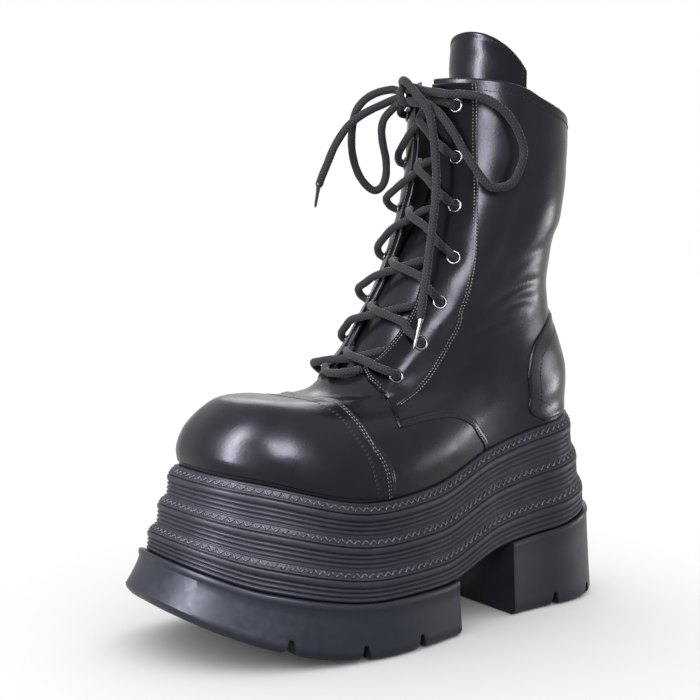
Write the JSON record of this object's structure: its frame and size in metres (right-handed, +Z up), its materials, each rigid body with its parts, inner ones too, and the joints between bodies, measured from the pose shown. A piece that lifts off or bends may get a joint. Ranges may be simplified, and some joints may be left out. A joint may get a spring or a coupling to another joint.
{
  "type": "platform boot",
  "caption": "Lace-up platform boot for the left foot, with a stepped and ribbed platform, a lugged block heel and a tied bow.",
  "frame": {"origin": "centre of the boot's footprint box on the ground", "axes": "toe towards -Y, the outer side of the left foot +X, +Z up"},
  "size_m": [0.129, 0.292, 0.3339],
  "materials": {
    "leather": "smooth semi-gloss black leather",
    "lining": "matte black lining",
    "platform_rubber": "matte blue-black moulded rubber",
    "tread_rubber": "matte blue-black rubber",
    "lace_cord": "woven matte black",
    "gunmetal": "dark gunmetal"
  },
  "bodies": {
    "root": {"outsole_forefoot": "tread_rubber", "outsole_heel": "tread_rubber", "midsole": "platform_rubber", "insole": "lining", "upper": "leather", "tongue": "leather", "toe_cap": "leather", "heel_counter": "leather", "eyestay_lateral": "leather", "eyestay_medial": "leather", "vamp_seam_lateral": "leather", "vamp_seam_medial": "leather", "eyelet_lateral_1": "gunmetal", "eyelet_lateral_2": "gunmetal", "eyelet_lateral_3": "gunmetal", "eyelet_lateral_4": "gunmetal", "eyelet_lateral_5": "gunmetal", "eyelet_lateral_6": "gunmetal", "eyelet_lateral_7": "gunmetal", "eyelet_medial_1": "gunmetal", "eyelet_medial_2": "gunmetal", "eyelet_medial_3": "gunmetal", "eyelet_medial_4": "gunmetal", "eyelet_medial_5": "gunmetal", "eyelet_medial_6": "gunmetal", "eyelet_medial_7": "gunmetal", "lace_bar": "lace_cord", "lace_crossing_1": "lace_cord", "lace_crossing_2": "lace_cord", "lace_crossing_3": "lace_cord", "lace_crossing_4": "lace_cord", "lace_crossing_5": "lace_cord", "lace_crossing_6": "lace_cord", "lace_top": "lace_cord", "lace_knot": "lace_cord", "lace_loop_left": "lace_cord", "lace_loop_right": "lace_cord", "lace_end_left": "lace_cord", "lace_end_right": "lace_cord", "aglet_left": "gunmetal", "aglet_right": "gunmetal"}
  },
  "joints": []
}
